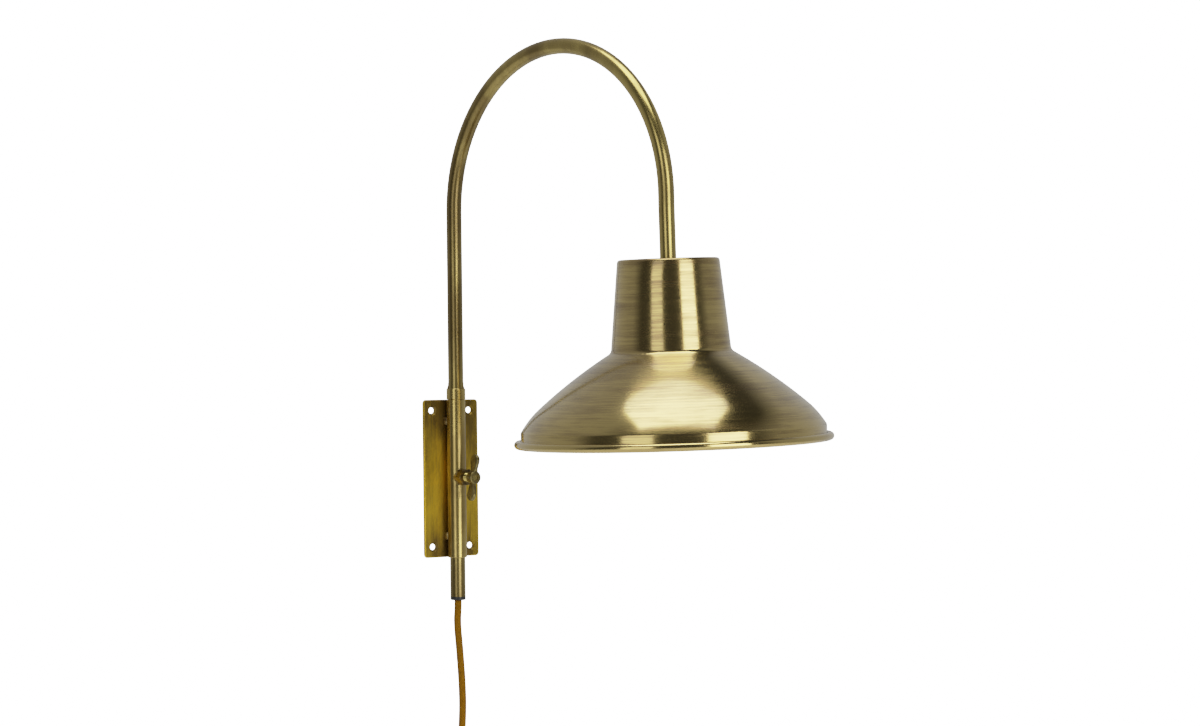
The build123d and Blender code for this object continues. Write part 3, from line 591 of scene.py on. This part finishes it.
def threaded_stud(name, source, body, finish):
    """A stud along -Y with a rolled screw thread from its tip to its shoulder, then a plain spigot."""
    low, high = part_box(source)
    middle = ((low.x + high.x) / 2, (low.z + high.z) / 2)
    crest = (high.x - low.x) / 2

    def thread_radius(turn, run):
        """The thread's round wave, cut back where the tip is chamfered."""
        wave = 0.5 + 0.5 * math.cos(2 * math.pi * run / stud_pitch - turn)
        from_tip = run - stud_start
        chamfer = max(0.0, 1 - from_tip / stud_tip_chamfer) * stud_tip_chamfer * stud_chamfer_slope
        return min(crest - stud_thread_depth * (1 - wave), crest - chamfer)

    def spigot_radius(turn, run):
        """The thinned end is plain."""
        return stud_spigot_radius

    shape = bmesh.new()
    steps = int((stud_shoulder - stud_start) / stud_pitch * stud_rings_per_pitch)
    rings = []
    for s in range(steps + 1):
        run = stud_start + (stud_shoulder - stud_start) * s / steps
        rings.append(stud_ring(shape, middle, thread_radius, run))
    rings.append(stud_ring(shape, middle, spigot_radius, stud_shoulder))
    rings.append(stud_ring(shape, middle, spigot_radius, stud_end))
    for a, b in zip(rings, rings[1:]):
        for k in range(len(a)):
            n = (k + 1) % len(a)
            shape.faces.new((a[k], a[n], b[n], b[k]))
    shape.faces.new(rings[0])
    shape.faces.new(list(reversed(rings[-1])))
    bmesh.ops.recalc_face_normals(shape, faces=shape.faces)
    mesh = bpy.data.meshes.new(name)
    shape.to_mesh(mesh)
    shape.free()
    for face in mesh.polygons:
        face.use_smooth = len(face.vertices) == 4
    mesh.materials.append(finish)
    piece = bpy.data.objects.new(name, mesh)
    bpy.context.scene.collection.objects.link(piece)
    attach(piece, body)
    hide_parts(source)


stud_brass = brass_finish("stud brass", gold=(0.70, 0.55, 0.17), brown=(0.40, 0.28, 0.07),
                          clouds=(200, 200, 200), patina=(0.55, 0.85), gloss=(0.18, 0.32),
                          marks=brushing(900, 900, 900), depth=0.00001)
threaded_stud("clamp_thread", "clamp_stud", "clamp_screw", stud_brass)


# ---- Wing head -------------------------------------------------------------------------------------------
# Cast brass head with two flat thumb wings, finished dark like the nut.  The stud's riveted end shows as
# a dimple in its hub.
wing_bronze = brass_finish("wing bronze", gold=(0.34, 0.27, 0.09), brown=(0.08, 0.058, 0.022),
                           clouds=(120, 120, 120), patina=(0.38, 0.70), gloss=(0.30, 0.46),
                           marks=brushing(500, 500, 500), depth=0.00003)
dress(wing_bronze, "wing_head")


# ---- Arm tube --------------------------------------------------------------------------------------------
# Half-inch brass tube: a straight mast with a tail below the sleeve, bent in one half circle, with a
# short leg that carries the shade.  Satin olive antique finish, darkest on the mast and painted lighter
# towards the leg, as painted light for the leg catching more of the lamps.
def leg_painted_lighter(tree, at):
    """Painted light: the patina thins from the mast out to the leg, where more light falls."""
    split = wire(tree, "ShaderNodeSeparateXYZ", i0=at)
    return span(tree, split.outputs[1], -0.26, -0.02, 0.14, -0.14)


tube_brass = brass_finish("tube brass", gold=(0.56, 0.44, 0.145), brown=(0.23, 0.165, 0.055),
                          clouds=(34, 34, 15), patina=(0.32, 0.64), gloss=(0.23, 0.34),
                          marks=brushing(90, 90, 50), depth=0.0000005, bite=0.12, wear_and_painted_light=leg_painted_lighter)
dress(tube_brass, "arm_tube")


# ---- Tail bush -------------------------------------------------------------------------------------------
# Black nylon bush pushed into the tube's lower end, so its edge can't cut the flex.  The cord grip in the
# lampholder is the same nylon.
def moulded(name, colour, roughness, grain=900.0, depth=0.00003):
    """Moulded plastic: one colour with a faint uneven gloss and a fine pebbled grain."""
    finish, tree, shader = new_finish(name)
    at = wire(tree, "ShaderNodeTexCoord").outputs["Object"]
    pebbles = wire(tree, "ShaderNodeTexNoise", Vector=at, Scale=grain, Detail=3.0).outputs[0]
    dust = wire(tree, "ShaderNodeTexNoise", Vector=at, Scale=60.0, Detail=5.0).outputs[0]
    lighter = tuple(min(1.0, c * 1.5 + 0.006) for c in colour)
    tone = blend(tree, span(tree, dust, 0.4, 0.75), (*colour, 1), (*lighter, 1))
    tree.links.new(tone, shader.inputs["Base Color"])
    tree.links.new(span(tree, dust, 0.3, 0.8, roughness - 0.06, roughness + 0.08), shader.inputs["Roughness"])
    relief(tree, shader, pebbles, depth)
    return finish


black_nylon = moulded("black nylon", (0.012, 0.012, 0.012), 0.45)
dress(black_nylon, "tail_bush", "cord_grip")


# ---- Shade -----------------------------------------------------------------------------------------------
# Spun from one disc of brass sheet: flat top, tapered neck, bowed skirt, upright band and a rim curled
# outwards. The lathe left fine rings all round it, and the antique finish is rubbed back along those
# rings.
lamp_socket = next(m for m in frame["record"]["mounts"] if m["name"] == "lamp_socket")
shade_down = Vector(lamp_socket["axis"])
shade_at = Vector(lamp_socket["pos_m"])


def shade_places(tree, at):
    """The distance from the shade's own leaning axis and the height along it."""
    out = wire(tree, "ShaderNodeVectorMath", i0=at, i1=tuple(shade_at))
    out.operation = "SUBTRACT"
    upright = wire(tree, "ShaderNodeMapping", Vector=out.outputs[0])
    upright.inputs["Rotation"].default_value = shade_down.rotation_difference(Vector((0, 0, -1))).to_euler()
    split = wire(tree, "ShaderNodeSeparateXYZ", i0=upright.outputs[0])
    across = maths(tree, "MULTIPLY", split.outputs[0], split.outputs[0])
    across = maths(tree, "ADD", across, maths(tree, "MULTIPLY", split.outputs[1], split.outputs[1]))
    return maths(tree, "SQRT", across), split


def spun_rings(tree, at):
    """Rings of the lathe: noise that is fine along the sheet's own outline and drawn out round the axis."""
    out, split = shade_places(tree, at)
    along = maths(tree, "SUBTRACT", split.outputs[2], maths(tree, "MULTIPLY", out, 0.5))
    total = None
    for fine, drawn, share in ((1900.0, 40.0, 0.34), (520.0, 16.0, 0.36), (150.0, 8.0, 0.30)):
        x = maths(tree, "MULTIPLY", split.outputs[0], drawn)
        y = maths(tree, "MULTIPLY", split.outputs[1], drawn)
        spread = wire(tree, "ShaderNodeCombineXYZ", X=x, Y=y, Z=maths(tree, "MULTIPLY", along, fine))
        rings = wire(tree, "ShaderNodeTexNoise", Vector=spread.outputs[0], Scale=1.0, Detail=2.0,
                     Roughness=0.6)
        part = maths(tree, "MULTIPLY", rings.outputs[0], share)
        total = part if total is None else maths(tree, "ADD", total, part)
    return span(tree, total, 0.36, 0.64)


def rubbed_rim(tree, at):
    """More rubbing on the curled rim, which hands and cloth reach first."""
    curl_starts = 0.1175
    curl_ends = 0.1215
    out = shade_places(tree, at)[0]
    return span(tree, out, curl_starts, curl_ends, 0.0, 0.2)


shade_brass = brass_finish("shade brass", gold=(0.61, 0.47, 0.17), brown=(0.30, 0.205, 0.078),
                           clouds=(12, 12, 46), patina=(0.36, 0.74), gloss=(0.15, 0.29), marks=spun_rings,
                           depth=0.000004, lacquer=1.0, brushed=0.6, wear_and_painted_light=rubbed_rim)


def without_seam(name, source, body, finish):
    """A CAD piece's own surface with its seams welded, so that the shading runs all round it."""
    weld_within = 0.000001
    crease = 35.0
    skin = bmesh.new()
    skin.from_mesh(node[source].data)
    bmesh.ops.remove_doubles(skin, verts=skin.verts, dist=weld_within)
    for edge in skin.edges:
        edge.smooth = len(edge.link_faces) == 2 and edge.calc_face_angle() < math.radians(crease)
    for face in skin.faces:
        face.smooth = True
    mesh = bpy.data.meshes.new(name)
    skin.to_mesh(mesh)
    skin.free()
    mesh.materials.append(finish)
    piece = bpy.data.objects.new(name, mesh)
    bpy.context.scene.collection.objects.link(piece)
    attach(piece, body)
    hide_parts(source)


without_seam("shade_spinning", "shade", "arm", shade_brass)


# ---- Nipple, washer and lock nut -------------------------------------------------------------------------
# A threaded brass nipple in the tube's end holds the shade between the tube and a washer with a lock nut.
# Washer, nut and the small screws are steel, plated with zinc.
def plated(name, colour, roughness):
    """Plated metal with faint cloudy dulling."""
    finish, tree, shader = new_finish(name, Metallic=1.0)
    at = wire(tree, "ShaderNodeTexCoord").outputs["Object"]
    dull = wire(tree, "ShaderNodeTexNoise", Vector=at, Scale=240.0, Detail=4.0).outputs[0]
    darker = tuple(0.72 * c for c in colour)
    tone = blend(tree, span(tree, dull, 0.4, 0.7), (*colour, 1), (*darker, 1))
    tree.links.new(tone, shader.inputs["Base Color"])
    tree.links.new(span(tree, dull, 0.3, 0.7, roughness, roughness + 0.15), shader.inputs["Roughness"])
    relief(tree, shader, dull, 0.00002)
    return finish


zinc = plated("zinc", (0.62, 0.62, 0.60), 0.28)
nickel = plated("nickel", (0.72, 0.69, 0.63), 0.16)
dress(zinc, "shade_washer", "lock_nut", "terminal_screws", "cap_grub_screw", "switch_screws")
dress(stud_brass, "end_nipple", "terminal_posts")


# ---- Lampholder ------------------------------------------------------------------------------------------
# Black phenolic E27 holder: a domed cap that screws on the nipple and is locked by a grub screw, and a
# ribbed skirt that screws into the cap and clamps the porcelain contact block between them.
phenolic = moulded("phenolic", (0.014, 0.012, 0.011), 0.28, grain=500.0, depth=0.00002)
dress(phenolic, "holder_cap", "holder_skirt")


def glazed_porcelain():
    """Off-white porcelain, faintly clouded under its glaze."""
    finish, tree, shader = new_finish("porcelain", Roughness=0.18, Coat_Weight=0.6)
    at = wire(tree, "ShaderNodeTexCoord").outputs["Object"]
    clouds = wire(tree, "ShaderNodeTexNoise", Vector=at, Scale=140.0, Detail=3.0).outputs[0]
    body = blend(tree, span(tree, clouds, 0.35, 0.75), (0.84, 0.82, 0.76, 1), (0.74, 0.71, 0.63, 1))
    tree.links.new(body, shader.inputs["Base Color"])
    relief(tree, shader, clouds, 0.00004)
    return finish


dress(glazed_porcelain(), "contact_block")
dress(nickel, "centre_contact", "side_contact", "plug_pins")


def rolled_shell(name, source, body, finish):
    """The thin shell with its round thread rolled in, plain for a millimetre at both ends."""
    low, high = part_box(source)
    length = 0.022
    pitch = 0.00363
    middle_radius = 0.0133
    wave = 0.00045
    sheet = 0.00035
    top = (low + high) / 2 - shade_down * length / 2
    side = shade_down.orthogonal().normalized()
    other = shade_down.cross(side)
    around = 72
    steps = 110
    plain_end = 0.001
    shape = bmesh.new()
    rings = []
    for face_of_sheet in (sheet / 2, -sheet / 2):
        for s in range(steps + 1):
            run = length * (s if face_of_sheet > 0 else steps - s) / steps
            fade = min(1.0, run / plain_end, (length - run) / plain_end)
            ring = []
            for k in range(around):
                turn = 2 * math.pi * k / around
                swell = wave * math.cos(2 * math.pi * run / pitch - turn) * fade + wave * (1 - fade)
                radius = middle_radius + swell + face_of_sheet
                outward = math.cos(turn) * side + math.sin(turn) * other
                ring.append(shape.verts.new(top + run * shade_down + radius * outward))
            rings.append(ring)
    for a, b in zip(rings, rings[1:] + rings[:1]):
        for k in range(around):
            n = (k + 1) % around
            face = shape.faces.new((a[k], a[n], b[n], b[k]))
            face.smooth = True
    bmesh.ops.recalc_face_normals(shape, faces=shape.faces)
    mesh = bpy.data.meshes.new(name)
    shape.to_mesh(mesh)
    shape.free()
    mesh.materials.append(finish)
    piece = bpy.data.objects.new(name, mesh)
    bpy.context.scene.collection.objects.link(piece)
    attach(piece, body)
    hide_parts(source)


rolled_shell("threaded_shell", "thread_shell", "arm", nickel)


# ---- Flex inside the arm ---------------------------------------------------------------------------------
# The same flex goes on through the tube to the cord grip.  There its braid ends, and its two cores, one
# brown and one blue, fan out to the terminals.
dress(mustard_braid, "inner_cord")
dress(moulded("brown core", (0.16, 0.06, 0.02), 0.5), "live_core")
dress(moulded("blue core", (0.02, 0.07, 0.30), 0.5), "neutral_core")


# ---- Switch, strap and plug ------------------------------------------------------------------------------
# A black in-line rocker switch in two screwed halves with a ribbed rubber boot at each end, a woven strap
# round the coil, and a flat two-pin plug moulded on the flex's end, its nickelled pins sleeved where they
# leave it.
black_moulding = moulded("black moulding", (0.014, 0.014, 0.014), 0.42, grain=1600.0)
dress(black_moulding, "switch_front", "switch_back", "switch_rocker", "plug_body", "plug_pin_sleeves")


def lengths_along(route):
    """How far along a route each of its points lies."""
    run = [0.0]
    for a, b in zip(route, route[1:]):
        run.append(run[-1] + (b - a).length)
    return run


def strain_relief(name, route):
    """A ribbed rubber boot that tapers from the switch along the flex."""
    boot_length = 0.022
    wide = 0.0049
    narrow = 0.0034
    rib = 0.0005
    ribs = 6
    ribs_from = 0.15
    ribs_to = 0.97

    def radius_at(run):
        """The boot's taper, with its grooves between a plain collar and a plain lip."""
        taper = wide + (narrow - wide) * run / boot_length
        groove = 0.5 - 0.5 * math.cos(2 * math.pi * ribs * run / boot_length)
        return taper - rib * groove * (ribs_from < run / boot_length < ribs_to)

    part = [point for point, run in zip(route, lengths_along(route)) if run <= boot_length]
    boot = flex_tube(name, part, radius_at, 32, "hanging_flex")
    boot.data.materials.append(black_moulding)


strain_relief("switch_upper_boot", even_steps(list(reversed(to_switch_route)), 0.0003))
strain_relief("switch_lower_boot", even_steps(coil_route, 0.0003))
dress(moulded("strap", (0.02, 0.02, 0.02), 0.75, grain=2500.0, depth=0.00015), "cord_tie")
